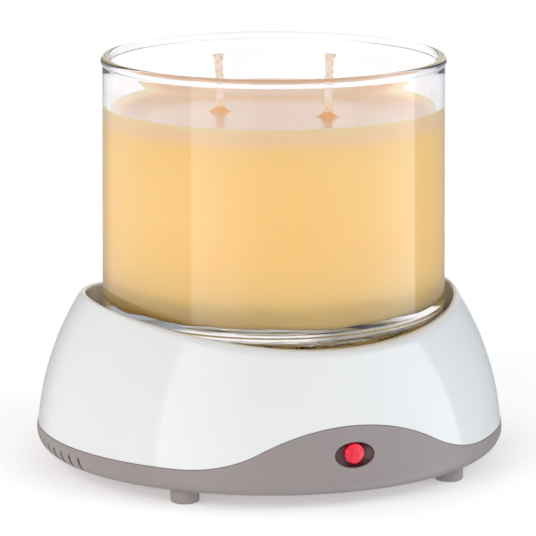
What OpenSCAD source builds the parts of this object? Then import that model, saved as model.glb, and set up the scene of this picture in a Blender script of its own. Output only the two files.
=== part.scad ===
// Electric candle-jar warmer: a round domed base with a warming plate sunk in its top,
// and the glass jar candle that stands on the plate. Millimetres, front towards -Y,
// origin on the table under the centre of the base.

/* [Dome] */
// Radius of the arc that the dome's side follows
dome_arc = 85.5; // [85:0.1:86]
// How far that arc's centre lies beyond the axis
dome_back = 15.9; // [15.5:0.1:16.2]
// Height of the arc's centre
dome_low = 4; // [3.8:0.1:4.2]
// Wall thickness of the moulded cover
cover_wall = 2.4; // [1.6:0.1:3]
// Height of the rim at its lowest, front and back
rim_front_z = 44; // [43:0.1:46]
// Radius of the long sweep that dips the rim
rim_sweep = 230; // [180:5:400]

/* [Well and plate] */
// Inside radius of the well
well_r = 54.7; // [54:0.1:55]
// Inside radius of the shelf under the plate
shelf_r = 50; // [48:0.5:51]
// Height of the warming plate's top
plate_z = 42; // [41.5:0.1:43]
// Thickness of the warming plate
plate_t = 1.5; // [1:0.1:2]
// Radius of the warming plate
plate_r = 53.9; // [53:0.1:54.2]
// Distance of the plate's studs from the centre
stud_ring = 28; // [24:0.5:32]

/* [Tray] */
// Height of the tray's underside above the table
tray_z = 3.9; // [3:0.1:5]
// Wall and floor thickness of the tray
tray_wall = 2.2; // [1.6:0.1:2.6]
// Height of the parting line
seam_z = 11.4; // [11:0.1:12]
// Open gap at the parting line
seam_gap = 0.25; // [0.15:0.05:0.5]
// How far the tray stands proud of the cover
tray_step = 0.2; // [0:0.05:0.4]
// Radius of the tray's lower edge
tray_round = 5.5; // [4:0.1:6]
// Height of the front hump above the parting line
hump_h = 12.5; // [8:0.1:14]
// Half width of the hump
hump_half = 48; // [44:0.5:50]
// Radius of the hump's crown
hump_crown = 55; // [50:1:60]

/* [Vents] */
// Vent slots on each side
vent_count = 8; // [4:1:10]
// Angle between neighbouring slots
vent_pitch = 4.1; // [3.5:0.1:5]
// Width of a slot
vent_w = 1.2; // [0.8:0.1:1.6]
// Height of a slot's lower end
vent_low = 5; // [4.6:0.1:6]
// Height of a slot's upper end
vent_top = 9.2; // [8:0.1:9.3]
// Middle of each row of slots, degrees from the front
vent_mid = 87.7; // [80:0.1:95]

/* [Feet] */
// Radius of a foot
foot_r = 4.2; // [3.8:0.1:4.4]
// Distance of the feet from the centre
foot_ring = 61; // [60:0.1:61.5]
// Half the angle between the front pair of feet
foot_half = 41.3; // [38:0.1:45]
// Turn of the whole foot pattern
foot_turn = -2.7; // [-3:0.1:0]

/* [Lamp] */
// Height of the lamp window's centre
lamp_z = 15.7; // [15:0.1:16]
// Half width of the oval window
window_a = 6; // [5:0.1:7]
// Half height of the oval window
window_b = 3.6; // [3.6:0.1:4]
// Radius of the red lamp cap
cap_r = 2.95; // [2.6:0.05:2.95]
// How far the cap sits above the window's centre
cap_up = 0.3; // [0:0.05:0.3]

/* [Cord inlet] */
// Height of the inlet's axis
inlet_z = 12.5; // [12:0.1:13]
// Bore radius of the gland
inlet_r = 2.6; // [2.2:0.1:2.8]
// Outside radius of the gland
gland_r = 4.2; // [4:0.1:4.5]

/* [Jar] */
// Outside radius of the jar near its base
jar_r = 51; // [50.8:0.05:51.2]
// How much narrower the jar is under its rim
jar_draft = 0.5; // [0:0.1:1]
// Height of the jar
jar_h = 78.8; // [76:0.1:82]
// Thickness of the jar's side wall
jar_wall = 2.4; // [2:0.1:3]
// Thickness of the jar's base
jar_base = 5.3; // [5:0.1:8]
// Outer corner radius at the foot of the jar
jar_foot_round = 6; // [4:0.5:7]
// Inner corner radius at the foot of the jar
jar_floor_round = 10; // [7:0.5:12]
// Where the jar stands on the plate
jar_at = [1.2, -0.5]; // [-2:0.1:2]

/* [Candle] */
// Depth of the wax at its middle
wax_depth = 55.7; // [40:0.1:58]
// How far the wax climbs the glass
wax_climb = 3.4; // [0:0.1:4]
// Width of that climb
wax_climb_w = 6; // [3:0.5:10]
// Distance of each wick from the jar's axis
wick_ring = 16.6; // [12:0.1:20]
// Direction from the jar's axis to the right-hand wick
wick_turn = -38.6; // [-45:0.1:-30]
// Radius of a wick
wick_r = 1.1; // [0.8:0.1:1.5]
// Length of the left wick above the wax
wick_left_up = 17.3; // [10:0.1:20]
// Length of the right wick above the wax
wick_right_up = 18.7; // [10:0.1:20]

/* [Hidden] */
$fn = 96;
cut = 0.01;                       // overshoot of a cutting solid
fit = 0.1;                        // gap left round a piece that sits in another
wire_r = 0.9;                     // insulated internal lead
shelf_z = 40;                     // top of the shelf
shelf_t = 2;
well_wall = 3.2;
gasket_t = plate_z - plate_t - shelf_z;
floor_z = tray_z + tray_wall;     // top of the tray's floor
tongue_up = 3;                    // height of the tray's inner lip over the parting line
tongue_t = 1.6;
stack_z = plate_z - plate_t;      // underside of the warming plate
heater_t = 1.6;
heater_r = 43;
clamp_t = 1.4;
pad_t = 5;
pad_r = 42;
shield_t = 0.8;
shield_r = 46;
shield_z = stack_z - heater_t - clamp_t - pad_t - shield_t;
stud_r = 1.5;
stud_len = 14;
stud_hole = 2.1;
window = [30, 16];                // opening for the heater's tabs, through pad and shield
window_y = 30;
tab_x = 9;
tab_y = 33;
tab_end = stack_z - heater_t - 8.5;
fuse_y = 26.5;
fuse_r = 1.9;
fuse_z = stack_z - heater_t - clamp_t - fuse_r - fit;
post_r = 4.6;
post_top = 13.5;
screw_head_r = 2.9;
screw_seat_z = 8;
screw_r = 1.45;
pilot_r = 1.5;
boss_r = 3.6;
boss_top = 36;
block_y = 42;                     // middle of the terminal block
block = [18, 9, 9];
block_face = block_y - block[1] / 2;
clamp_y = 56;                     // middle of the cord clamp
gland_back = 62;
gland_front = 69.55;
gland_flange_r = 5.4;
lamp_y = -68.9;                   // face of the lamp
bulb_r = 2.1;
bulb_back = 52;
jar_top_r = jar_r - jar_draft;
jar_top_z = plate_z + jar_h;
jar_floor_z = plate_z + jar_base;
bead_r = 1.45;                    // the fire-polished rim
wax_z = jar_floor_z + wax_depth;
foot_angles = [-foot_half + foot_turn, foot_half + foot_turn,
               180 - foot_half + foot_turn, 180 + foot_half + foot_turn];

// ---- shared shapes

// Radius of the dome at a height, on a surface that lies inset mm under it
function dome_at(z, inset = 0) = sqrt(pow(dome_arc - inset, 2) - pow(z - dome_low, 2)) - dome_back;

function unit(v) = v / norm(v);

// Half section of the dome between two heights
module dome_half(z0, z1, inset = 0) {
    intersection() {
        translate([-dome_back, dome_low]) circle(r = dome_arc - inset, $fn = 240);
        translate([0, z0]) square([80, z1 - z0]);
    }
}

module block_2d(x0, x1, z0, z1) {
    translate([x0, z0]) square([x1 - x0, z1 - z0]);
}

// Oval of two long flat arcs with a round nose at each end. The centres stand on
// a triangle of sides 3, 4 and 5, so the arcs meet without a corner
module oval_2d(a, b) {
    k = (a - b) / 2;
    flat = b + 4 * k;
    for (s = [-1, 1]) translate([s * 3 * k, 0]) circle(r = b - k);
    intersection() {
        translate([0, -4 * k]) circle(r = flat);
        translate([0, 4 * k]) circle(r = flat);
        block_2d(-0.6 * flat, 0.6 * flat, -b, b);
    }
}

// Puts a child on the base at an angle from the front, towards +X
module around(angle, r) {
    rotate([0, 0, angle]) translate([0, -r, 0]) children();
}

// Turns a shape drawn in X and Z into a slab that runs back from y0
module slab(y0, depth) {
    translate([0, y0 + depth, 0]) rotate([90, 0, 0]) linear_extrude(depth) children();
}

// Everything under the hump's line, in front of the base's middle:
// a crown arc that runs into a hollow arc on each side
module under_hump(raise = 0) {
    both = (hump_half * hump_half + hump_h * hump_h) / (2 * hump_h);
    hollow = both - hump_crown;
    turn_z = hump_h - hump_crown * hump_h / both;
    slab(-80, 70) translate([0, seam_z + raise]) {
        intersection() {
            translate([0, hump_h - hump_crown]) circle(r = hump_crown, $fn = 180);
            block_2d(-hump_half, hump_half, turn_z - 1, hump_h);
        }
        difference() {
            block_2d(-hump_half, hump_half, -seam_z - raise, turn_z);
            for (s = [-1, 1]) translate([s * hump_half, hollow]) circle(r = hollow, $fn = 180);
        }
    }
}

// Round rod along Y, from y0 to y1
module rod_y(r, y0, y1, x = 0, z = 0) {
    translate([x, y1, z]) rotate([90, 0, 0]) cylinder(r = r, h = y1 - y0);
}

module rod_x(r, x0, x1, y = 0, z = 0) {
    translate([x0, y, z]) rotate([0, 90, 0]) cylinder(r = r, h = x1 - x0);
}

// Round tube along a list of points, with a radius at each: rings square to the path
module tube(points, radii, sides = 8) {
    last = len(points) - 1;
    aside = unit([0.31, 0.87, 0.38]);     // never along any of the paths
    function along(i) = unit(
        (i > 0 ? unit(points[i] - points[i - 1]) : [0, 0, 0])
        + (i < last ? unit(points[i + 1] - points[i]) : [0, 0, 0]));
    rings = [for (i = [0:last]) let (t = along(i), u = unit(cross(t, aside)), v = cross(t, u))
        for (k = [0:sides - 1]) points[i] + radii[i] * (cos(360 * k / sides) * u
            + sin(360 * k / sides) * v)];
    walls = [for (i = [0:last - 1], k = [0:sides - 1]) let (
        a = i * sides + k, b = i * sides + (k + 1) % sides)
        each [[a, b + sides, b], [a, a + sides, b + sides]]];
    polyhedron(rings, concat(walls, [[for (k = [0:sides - 1]) k]],
        [[for (k = [sides - 1:-1:0]) last * sides + k]]));
}

// Insulated wire along a list of points
module wire(points, r = wire_r) {
    tube(points, [for (p = points) r]);
}

module on_studs() {
    for (a = [30, 150, 270]) rotate([0, 0, a]) translate([stud_ring, 0, 0]) children();
}

module at_feet() {
    for (a = foot_angles) around(a, foot_ring) children();
}

// ---- casing

// Dome wall, the well's wall inside it and the shelf that carries the plate
module shell_body() {
    top = 52;
    rotate_extrude() difference() {
        dome_half(seam_z + seam_gap, top);
        difference() {
            dome_half(0, top, cover_wall);
            block_2d(shelf_r, well_r + well_wall, shelf_z - shelf_t, top);
        }
        block_2d(-1, well_r, shelf_z, top + 1);
        block_2d(-1, shelf_r, 0, top + 1);
    }
}

module shell_cover() {
    color("white") difference() {
        union() {
            shell_body();
            intersection() {
                at_feet() translate([0, 0, post_top + 0.2])
                    cylinder(r = boss_r, h = boss_top - post_top);
                rotate_extrude() dome_half(seam_z, 50, cover_wall / 2);
            }
        }
        under_hump(seam_gap - 0.05);
        at_feet() translate([0, 0, post_top]) cylinder(r = pilot_r, h = 13);
        translate([0, 100, rim_front_z + rim_sweep]) rotate([90, 0, 0])
            cylinder(r = rim_sweep, h = 200, $fn = 240);
        rod_y(gland_r + fit, 60, 80, z = inlet_z);
    }
}

// Half section of a dish with a rounded lower edge, shrunk by inset and open at top
module dish_half(inset, top) {
    edge_z = tray_z + tray_round;
    edge_r = dome_at(edge_z) + tray_step - tray_round;
    block_2d(0, edge_r, tray_z + inset, top);
    block_2d(0, edge_r + tray_round - inset, edge_z, top);
    intersection() {
        translate([edge_r, edge_z]) circle(r = tray_round - inset);
        block_2d(0, 80, 0, edge_z);
    }
}

module tray_dish() {
    rotate_extrude() difference() {
        dish_half(0, seam_z);
        dish_half(tray_wall, seam_z + cut);
    }
}

// The part of the tray's side that rises into the front hump
module tray_hump() {
    top = seam_z + hump_h + 1;
    intersection() {
        rotate_extrude() difference() {
            dome_half(seam_z - 1, top, -tray_step);
            dome_half(seam_z - 2, top + 1, tray_wall - tray_step);
        }
        under_hump();
    }
}

// Inner lip that stands up behind the cover's lower edge, left out behind the lamp
module tray_tongue() {
    outer = cover_wall + seam_gap;
    difference() {
        rotate_extrude() difference() {
            union() {
                dome_half(floor_z - 0.5, seam_z - 1, tray_wall - 0.6);
                dome_half(floor_z - 0.5, seam_z + tongue_up, outer);
            }
            dome_half(0, 30, outer + tongue_t);
        }
        translate([-11, -70, 8.6]) cube([22, 10, 12]);
    }
}

module base_tray() {
    slot_z = vent_top - vent_low;
    color("rosybrown") difference() {
        union() {
            tray_dish();
            tray_hump();
            tray_tongue();
            at_feet() translate([0, 0, tray_z + cut]) cylinder(r = post_r - 1, h = post_top - tray_z - cut);
            at_feet() translate([0, 0, tray_z + cut]) cylinder(r = post_r, h = screw_seat_z - tray_z + 1.6);
        }
        at_feet() translate([0, 0, tray_z - cut])
            cylinder(r = screw_head_r + 0.6, h = screw_seat_z - tray_z + cut);
        at_feet() cylinder(r = screw_r + 0.25, h = 20);
        for (side = [-vent_mid, vent_mid], i = [0:vent_count - 1])
            around(side + (i - (vent_count - 1) / 2) * vent_pitch, 67.5)
                translate([-vent_w / 2, -5, vent_low]) cube([vent_w, 10, slot_z]);
        translate([0, 0, lamp_z]) slab(-80, 18.5) oval_2d(window_a, window_b);
        translate([-9, -66.2, 8.6]) cube([18, 4, 22]);
        rod_y(gland_r + fit, 60, 80, z = inlet_z);
        rod_y(gland_flange_r + fit, 60, 67, z = inlet_z);
    }
}

module foot(angle) {
    color("dimgray") around(angle, foot_ring) rotate_extrude() polygon([
        [0, 0], [foot_r - 0.6, 0], [foot_r - 0.18, 0.18], [foot_r, 0.6], [foot_r, tray_z],
        [screw_head_r + 0.5, tray_z], [screw_head_r + 0.5, tray_z + 1.8], [0, tray_z + 1.8]]);
}

module foot_front_left() { foot(foot_angles[0]); }
module foot_front_right() { foot(foot_angles[1]); }
module foot_rear_right() { foot(foot_angles[2]); }
module foot_rear_left() { foot(foot_angles[3]); }

module case_screws() {
    color("silver") at_feet() difference() {
        union() {
            translate([0, 0, screw_seat_z - 2]) cylinder(r = screw_head_r, h = 2);
            translate([0, 0, screw_seat_z - cut]) cylinder(r = screw_r, h = 16);
        }
        for (a = [0, 90]) rotate([0, 0, a])
            translate([-0.4, -1.6, screw_seat_z - 2 - cut]) cube([0.8, 3.2, 1.2]);
    }
}

module rating_label() {
    color("lightgray") translate([-20, -12, tray_z - 0.2]) cube([40, 24, 0.2]);
}

// ---- warming plate and what is bolted under it

module warming_plate() {
    color("lightgray") union() {
        translate([0, 0, stack_z]) rotate_extrude() polygon([
            [0, 0], [plate_r - 0.4, 0], [plate_r, 0.4], [plate_r, plate_t - 0.5],
            [plate_r - 0.5, plate_t], [0, plate_t]]);
        on_studs() translate([0, 0, stack_z - stud_len]) cylinder(r = stud_r, h = stud_len + cut);
    }
}

module plate_gasket() {
    color("dimgray") translate([0, 0, shelf_z]) difference() {
        cylinder(r = plate_r - 0.5, h = gasket_t);
        translate([0, 0, -cut]) cylinder(r = shelf_r + 0.4, h = 1);
    }
}

module heater_element() {
    color("tan") union() {
        translate([0, 0, stack_z - heater_t]) difference() {
            cylinder(r = heater_r, h = heater_t);
            on_studs() translate([0, 0, -1]) cylinder(r = stud_hole, h = 4);
            translate([0, 0, -1]) cylinder(r = 10, h = 4);
        }
        for (s = [-1, 1]) translate([s * tab_x - 2.4, tab_y - 0.4, stack_z - heater_t - 8.5])
            cube([4.8, 0.8, 8.5 + cut]);
    }
}

module clamp_plate() {
    z = stack_z - heater_t - clamp_t;
    color("silver") translate([0, 0, z]) difference() {
        cylinder(r = pad_r, h = clamp_t);
        on_studs() translate([0, 0, -1]) cylinder(r = stud_hole, h = 4);
        for (s = [-1, 1]) translate([s * tab_x, tab_y, -1]) cylinder(r = 3.6, h = 4);
    }
}

// Opening for the tabs and the fuse
module tab_window(z, h) {
    translate([-window[0] / 2, window_y - window[1] / 2, z]) cube([window[0], window[1], h]);
}

module insulation_pad() {
    z = shield_z + shield_t;
    color("ivory") difference() {
        translate([0, 0, z]) cylinder(r = pad_r, h = pad_t);
        on_studs() translate([0, 0, z - 1]) cylinder(r = stud_hole, h = pad_t + 2);
        tab_window(z - 1, pad_t + 2);
    }
}

// Pressed pan whose flange hooks under the cover's shelf
module heat_shield() {
    flange_z = shelf_z - shelf_t;
    color("gainsboro") difference() {
        rotate_extrude() polygon([
            [0, shield_z], [shield_r, shield_z], [shield_r, flange_z - shield_t],
            [well_r - 1.2, flange_z - shield_t], [well_r - 1.2, flange_z],
            [shield_r - shield_t, flange_z], [shield_r - shield_t, shield_z + shield_t],
            [0, shield_z + shield_t]]);
        on_studs() translate([0, 0, shield_z - 1]) cylinder(r = stud_hole, h = 3);
        tab_window(shield_z - 1, 3);
    }
}

module stud_washers() {
    color("silver") on_studs() translate([0, 0, shield_z - 0.5]) difference() {
        cylinder(r = 3.5, h = 0.5);
        translate([0, 0, -cut]) cylinder(r = stud_r + 0.1, h = 1);
    }
}

module stud_nuts() {
    color("silver") on_studs() translate([0, 0, shield_z - 2.9]) difference() {
        cylinder(r = 3.15, h = 2.4, $fn = 6);
        translate([0, 0, -cut]) cylinder(r = stud_r + 0.05, h = 3);
    }
}

module thermal_fuse() {
    color("goldenrod") union() {
        rod_x(fuse_r, -5.5, 5.5, fuse_y, fuse_z);
        rod_x(0.5, -7.5, 7.5, fuse_y, fuse_z);
    }
}

module fuse_clip() {
    top = stack_z - heater_t - clamp_t;
    color("silver") difference() {
        translate([-2, fuse_y - 3, fuse_z - 2.6]) cube([4, 6, top - fuse_z + 2.6]);
        rod_x(fuse_r + fit / 2, -3, 3, fuse_y, fuse_z);
    }
}

// ---- wiring

module terminal_block() {
    color("ivory") difference() {
        translate([-block[0] / 2, block_y - block[1] / 2, floor_z]) cube(block);
        for (x = [-6, -3, 3, 6]) rod_y(1.1, block_y - 5, block_y - 1.5, x, floor_z + 4);
        for (x = [-4.5, 4.5]) {
            rod_y(1.8, block_y + 1, block_y + 5, x, floor_z + 4);
            translate([x, block_y, floor_z + 5.6]) cylinder(r = 1.5, h = 4);
        }
        translate([0, block_y, floor_z - 1]) cylinder(r = 1.35, h = 12);
    }
}

module block_screw() {
    color("silver") translate([0, block_y, floor_z]) union() {
        cylinder(r = 1.3, h = 9.2);
        translate([0, 0, 9]) cylinder(r = 1.2, h = 1.4);
    }
}

module cord_gland() {
    color("dimgray") difference() {
        union() {
            rod_y(gland_r, gland_back, gland_front, z = inlet_z);
            rod_y(gland_flange_r, gland_back, gland_back + 1.8, z = inlet_z);
        }
        rod_y(inlet_r, gland_back - 1, gland_front + 1, z = inlet_z);
    }
}

module cord_clamp() {
    z = inlet_z - inlet_r;
    color("ivory") difference() {
        union() {
            translate([-9, clamp_y - 3, floor_z]) cube([18, 6, z - floor_z]);
            translate([-9, clamp_y - 3, z + 3.4]) cube([18, 6, 3]);
            for (s = [-1, 1]) translate([s * 7 - 1.8, clamp_y - 3, z - cut]) cube([3.6, 6, 4]);
        }
        for (s = [-1, 1]) translate([s * 7, clamp_y, floor_z + 0.6]) cylinder(r = 1.2, h = 20);
    }
}

module clamp_screws() {
    top = inlet_z - inlet_r + 6.4;
    color("silver") for (s = [-1, 1]) translate([s * 7, clamp_y, floor_z + 1]) union() {
        cylinder(r = 1.1, h = top - floor_z - 1 + cut);
        translate([0, 0, top - floor_z - 1]) cylinder(r = 2.2, h = 1.4);
    }
}

module heater_lead_neutral() {
    color("white") wire([[-tab_x, tab_y, tab_end - wire_r], [-tab_x, tab_y, 22],
        [-6.5, 33, 13], [-6, block_face - 2, floor_z + 4], [-6, block_face + 2.5, floor_z + 4]]);
}

module heater_lead_link() {
    color("white") wire([[tab_x, tab_y, tab_end - wire_r], [11, 30.5, 28.4], [11.6, 27.5, 31],
        [10.6, fuse_y, fuse_z], [7.6, fuse_y, fuse_z]]);
}

module heater_lead_live() {
    color("white") wire([[-7.6, fuse_y, fuse_z], [-10.6, fuse_y, fuse_z], [-12, 25, 30],
        [-11, 24, 25], [5, 26, 15], [6, 33, floor_z + 4.6],
        [6, block_face - 2, floor_z + 4], [6, block_face + 2.5, floor_z + 4]]);
}

module lamp_lead_live() {
    color("white") wire([[-3, block_face + 2.5, floor_z + 4], [-3, block_face - 2, floor_z + 4],
        [-3, 30, floor_z + 1.4], [-2.6, -36, floor_z + 1.4], [-1.7, -39.5, 15],
        [-1.7, -42, lamp_z + cap_up]]);
}

module lamp_lead_neutral() {
    color("white") wire([[3, block_face + 2.5, floor_z + 4], [3, block_face - 2, floor_z + 4],
        [3, 30, floor_z + 1.4], [2.6, -36, floor_z + 1.4], [1.4, -40, 15],
        [1.2, -43, lamp_z + cap_up], [1.2, -bulb_back + 0.2, lamp_z + cap_up]], 0.8);
}

// ---- lamp

module lamp_lens() {
    color("darkred") difference() {
        union() {
            intersection() {
                translate([0, 0, lamp_z]) slab(-80, 14.6) oval_2d(window_a - fit, window_b - fit);
                rotate_extrude() dome_half(8, 24, -tray_step - 0.15);
            }
            translate([0, 0, lamp_z]) slab(-66.2, 1.6) oval_2d(window_a + 1.4, window_b + 1.4);
        }
        rod_y(cap_r + fit / 2, -80, -60, z = lamp_z + cap_up);
    }
}

module lamp_cap() {
    crown = 8;
    color("red") intersection() {
        rod_y(cap_r, -80, -62.8, z = lamp_z + cap_up);
        translate([0, lamp_y - 0.65 + crown, lamp_z + cap_up]) sphere(r = crown);
    }
}

module neon_bulb() {
    color("mistyrose") union() {
        rod_y(bulb_r, -61.4, -bulb_back, z = lamp_z + cap_up);
        translate([0, -61.4, lamp_z + cap_up]) sphere(r = 1.1);
    }
}

module lamp_resistor() {
    color("peru") union() {
        rod_y(1.25, -49.5, -43.5, -1.7, lamp_z + cap_up);
        rod_y(0.35, -bulb_back, -42.6, -1.7, lamp_z + cap_up);
    }
}

module lamp_holder() {
    color("ivory") difference() {
        union() {
            translate([-4.4, -59.6, floor_z]) cube([8.8, 4.6, 14.4]);
            translate([-7, -59.6, floor_z]) cube([14, 4.6, 1.6]);
        }
        rod_y(bulb_r + fit / 2, -62, -50, z = lamp_z + cap_up);
        translate([-0.8, -60, lamp_z]) cube([1.6, 6, 8]);
    }
}

// ---- jar candle

// Half section of what fills the jar, up to a height and a gap away from the glass
module bore_half(top, gap) {
    r0 = jar_r - jar_wall - gap;
    r1 = r0 - jar_draft * (top - plate_z) / jar_h;
    low = jar_floor_z + gap;
    n = jar_floor_round - gap;
    polygon([[0, low + n], [r0, low + n], [r1, top], [0, top]]);
    block_2d(0, r0 - n, low, low + n);
    intersection() {
        translate([r0 - n, low + n]) circle(r = n);
        block_2d(0, r0, low, low + n);
    }
}

module jar_glass() {
    f = jar_foot_round;
    color("lightblue", 0.4) translate([jar_at[0], jar_at[1], 0]) rotate_extrude() difference() {
        union() {
            polygon([[0, plate_z + 1], [30, plate_z + 0.8], [jar_r - f - 1.5, plate_z],
                [jar_r - f, plate_z], [jar_r - f, plate_z + f], [jar_r, plate_z + f],
                [jar_top_r, jar_top_z - bead_r], [0, jar_top_z - bead_r]]);
            intersection() {
                translate([jar_r - f, plate_z + f]) circle(r = f);
                block_2d(jar_r - f, jar_r, plate_z, plate_z + f);
            }
            translate([jar_top_r + 0.5 - bead_r, jar_top_z - bead_r]) circle(r = bead_r);
        }
        bore_half(jar_top_z - bead_r, 0);
    }
}

module at_wick(side) {
    rotate([0, 0, wick_turn]) translate([side * wick_ring, 0, 0]) rotate([0, 0, -wick_turn])
        children();
}

module wax_fill() {
    climb_r = jar_top_r - jar_wall - fit;
    color("khaki") translate([jar_at[0], jar_at[1], 0]) difference() {
        rotate_extrude() difference() {
            bore_half(wax_z + wax_climb, fit);
            polygon([[-1, wax_z], [climb_r - wax_climb_w, wax_z], [climb_r - 2, wax_z + 1.2],
                [climb_r, wax_z + wax_climb - 0.2], [climb_r, wax_z + 9], [-1, wax_z + 9]]);
        }
        for (s = [-1, 1]) at_wick(s) translate([0, 0, jar_floor_z - 1]) {
            cylinder(r = wick_r + 0.2, h = 60);
            cylinder(r = 8.1, h = 1.7);
            cylinder(r = 2.1, h = 7.1);
        }
    }
}

// A wick leans outwards from where it leaves the wax and frays at its tip
module wick(side, up, lean) {
    color("oldlace") translate([jar_at[0], jar_at[1], 0]) at_wick(side)
        tube([[0, 0, jar_floor_z + 1], [0, 0, wax_z], [side * lean * 0.4, 0, wax_z + up / 2],
            [side * lean * 0.8, 0, wax_z + up - 3], [side * lean, 0, wax_z + up]],
            [wick_r, wick_r, wick_r, wick_r + 0.1, wick_r + 0.5], 12);
}

module wick_left() { wick(-1, wick_left_up, 0.6); }
module wick_right() { wick(1, wick_right_up, 1); }

// Pressed tin foot that holds a wick upright under the wax
module wick_clip(side) {
    color("silver") translate([jar_at[0], jar_at[1], jar_floor_z]) at_wick(side) difference() {
        union() {
            translate([0, 0, 0.1]) cylinder(r = 8, h = 0.5);
            translate([0, 0, 0.1]) cylinder(r = 2, h = 5.9);
        }
        translate([0, 0, 0.95]) cylinder(r = wick_r + 0.05, h = 8);
    }
}

module wick_clip_left() { wick_clip(-1); }
module wick_clip_right() { wick_clip(1); }

shell_cover();
base_tray();
warming_plate();
plate_gasket();
heater_element();
clamp_plate();
insulation_pad();
heat_shield();
stud_washers();
stud_nuts();
thermal_fuse();
fuse_clip();
terminal_block();
block_screw();
cord_gland();
cord_clamp();
clamp_screws();
heater_lead_neutral();
heater_lead_link();
heater_lead_live();
lamp_lens();
lamp_cap();
neon_bulb();
lamp_resistor();
lamp_holder();
lamp_lead_live();
lamp_lead_neutral();
foot_front_left();
foot_front_right();
foot_rear_right();
foot_rear_left();
case_screws();
rating_label();
jar_glass();
wax_fill();
wick_left();
wick_right();
wick_clip_left();
wick_clip_right();
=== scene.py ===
import math

import bpy
import numpy as np
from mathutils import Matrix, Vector


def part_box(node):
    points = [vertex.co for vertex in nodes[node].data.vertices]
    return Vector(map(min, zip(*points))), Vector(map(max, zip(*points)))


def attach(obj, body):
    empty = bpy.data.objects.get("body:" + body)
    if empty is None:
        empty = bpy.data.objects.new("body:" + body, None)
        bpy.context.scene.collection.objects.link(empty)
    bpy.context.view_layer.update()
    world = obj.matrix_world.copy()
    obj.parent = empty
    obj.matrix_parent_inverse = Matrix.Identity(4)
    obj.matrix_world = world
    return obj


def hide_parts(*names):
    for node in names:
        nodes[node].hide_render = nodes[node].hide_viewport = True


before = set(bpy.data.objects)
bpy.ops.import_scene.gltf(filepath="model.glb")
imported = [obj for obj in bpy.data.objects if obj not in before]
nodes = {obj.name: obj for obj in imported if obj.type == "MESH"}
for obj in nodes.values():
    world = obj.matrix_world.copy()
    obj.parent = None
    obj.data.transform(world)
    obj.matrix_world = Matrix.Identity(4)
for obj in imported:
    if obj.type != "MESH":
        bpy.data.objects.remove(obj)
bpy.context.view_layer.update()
metre = 0.001  # every length below is in millimetres until it goes into a mesh
scene = bpy.context.scene
print("frame loaded:", len(nodes), "CAD nodes")

# ---- small helpers


def linear(hexText):
    # sRGB hex to the linear values that shaders work in
    raw = np.array([int(hexText[i:i + 2], 16) for i in (0, 2, 4)]) / 255
    flat = np.where(raw <= 0.04045, raw / 12.92, ((raw + 0.055) / 1.055) ** 2.4)
    return (*flat.tolist(), 1.0)


def addNode(tree, kind, settings=None, inputs=None):
    # inputs: socket name or number to a value, or to another node's output
    node = tree.nodes.new("ShaderNode" + kind)
    for key, value in (settings or {}).items():
        setattr(node, key, value)
    for key, value in (inputs or {}).items():
        if isinstance(value, bpy.types.NodeSocket):
            tree.links.new(value, node.inputs[key])
        else:
            node.inputs[key].default_value = value
    return node


def boxCentre(node):
    low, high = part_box(node)
    return np.array((low + high) / 2) / metre


def arcPoints(centre, radius, start, stop, count):
    # points of a circle's arc in a half section: (r, z), angles in degrees from +r towards +z
    turn = np.radians(np.linspace(start, stop, count))
    return np.stack([centre[0] + radius * np.cos(turn), centre[1] + radius * np.sin(turn)], 1)


def evenSteps(count, like):
    # 0 to 1, shaped to run down a new first axis of an array
    return np.linspace(0, 1, count).reshape(-1, *[1] * np.ndim(like))


def straight(start, end, count):
    # start to end in even steps
    t = evenSteps(count, start)
    return (1 - t) * start + t * end


def softCorner(before, corner, after, count):
    # quadratic curve that leaves towards the corner and arrives from it
    t = evenSteps(count, before)
    return (1 - t) ** 2 * before + 2 * t * (1 - t) * corner + t ** 2 * after


def fullTurn(columns):
    # angle of each column round an axis
    return np.linspace(0, 2 * np.pi, columns, endpoint=False)


def gridFaces(rows, columns, wrapRows=False):
    # four corners of each cell of a rows x columns table of vertices that closes round its columns
    number = np.arange(rows * columns).reshape(rows, columns)
    down = np.roll(number, -1, 0) if wrapRows else number[1:]
    number = number if wrapRows else number[:-1]
    return np.stack([number, np.roll(number, -1, 1), np.roll(down, -1, 1), down], -1).reshape(-1, 4)


def fanFaces(ring, pole):
    # triangles from a ring of vertex numbers to one pole
    return np.stack([ring, np.roll(ring, -1), np.full(len(ring), pole)], 1)


def windowRing(row0, row1, column0, column1):
    # (row, column) of the vertices once round a window of a grid
    across, down = column1 - column0, row1 - row0
    return np.concatenate([
        np.stack([np.full(across, row0), np.arange(column0, column1)], 1),
        np.stack([np.arange(row0, row1), np.full(down, column1)], 1),
        np.stack([np.full(across, row1), np.arange(column1, column0, -1)], 1),
        np.stack([np.arange(row1, row0, -1), np.full(down, column0)], 1)])


def closedTube(rings, startPole, endPole):
    # a table of rings, closed by a fan of triangles to one pole at each end
    rows, columns = rings.shape[:2]
    pole = rows * columns
    points = np.vstack([rings.reshape(-1, 3), [startPole, endPole]])
    first = np.arange(columns)
    ends = [fanFaces(first[::-1], pole), fanFaces(first + pole - columns, pole + 1)]
    return points, gridFaces(rows, columns), np.concatenate(ends)


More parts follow.
